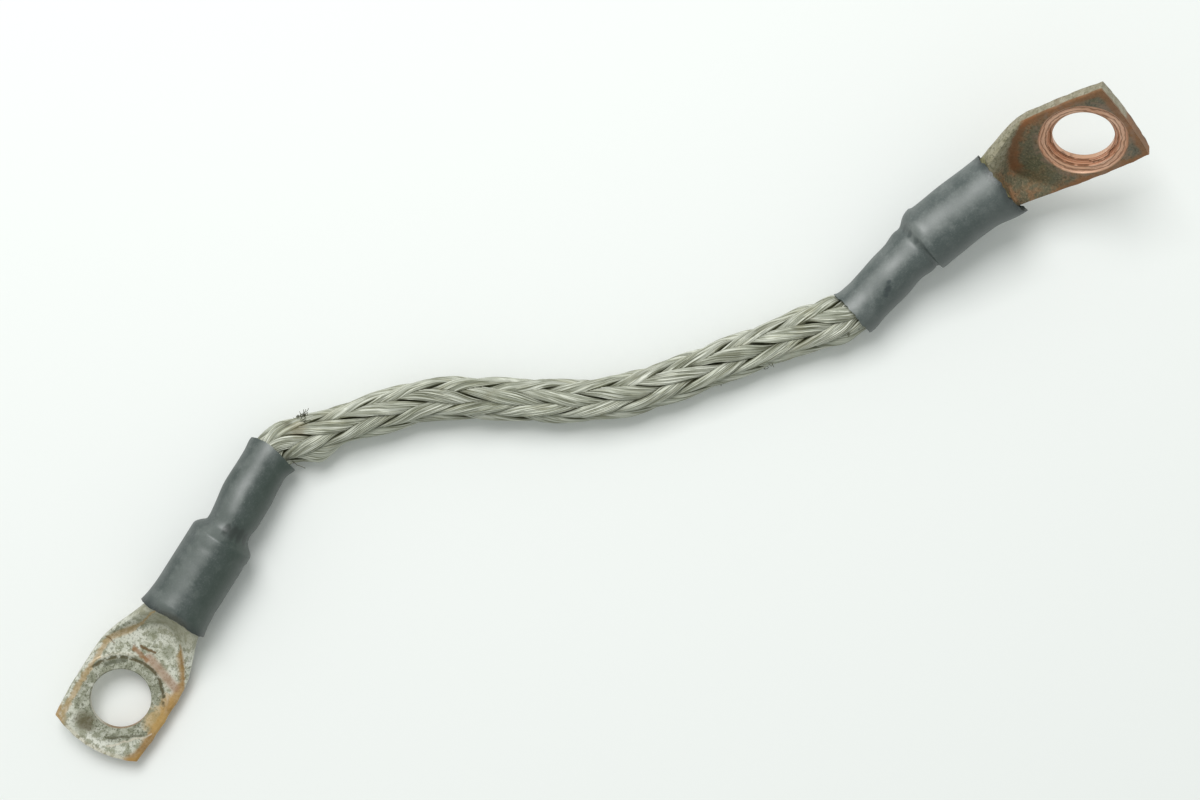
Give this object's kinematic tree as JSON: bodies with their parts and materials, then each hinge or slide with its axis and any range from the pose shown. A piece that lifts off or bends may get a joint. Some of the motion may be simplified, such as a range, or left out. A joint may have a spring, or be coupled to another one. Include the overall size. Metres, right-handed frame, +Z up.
{
  "type": "braided earth strap",
  "caption": "Round plaited tinned-copper earth strap with a flat-palm tube lug and a heat-shrink sleeve at each end, lying bent as if taken out of use.",
  "frame": {"origin": "middle of the strap's box, on the surface it lies on", "axes": "+X along the line through the two lug holes, towards the lug with the bent palm; +Z up"},
  "size_m": [0.2125, 0.0392, 0.0276],
  "materials": {
    "lug_copper": "worn tin plating over copper, dull",
    "heat_shrink": "satin",
    "plait_wire": "tinned copper wire, aged"
  },
  "bodies": {
    "root": {"cable_lug_a": "lug_copper", "cable_lug_b": "lug_copper", "heat_shrink_a": "heat_shrink", "heat_shrink_b": "heat_shrink", "strand_right_1": "plait_wire", "strand_left_1": "plait_wire", "strand_right_2": "plait_wire", "strand_left_2": "plait_wire", "strand_right_3": "plait_wire", "strand_left_3": "plait_wire", "strand_right_4": "plait_wire", "strand_left_4": "plait_wire", "strand_right_5": "plait_wire", "strand_left_5": "plait_wire", "strand_right_6": "plait_wire", "strand_left_6": "plait_wire", "strand_right_7": "plait_wire", "strand_left_7": "plait_wire", "strand_right_8": "plait_wire", "strand_left_8": "plait_wire"}
  },
  "joints": []
}
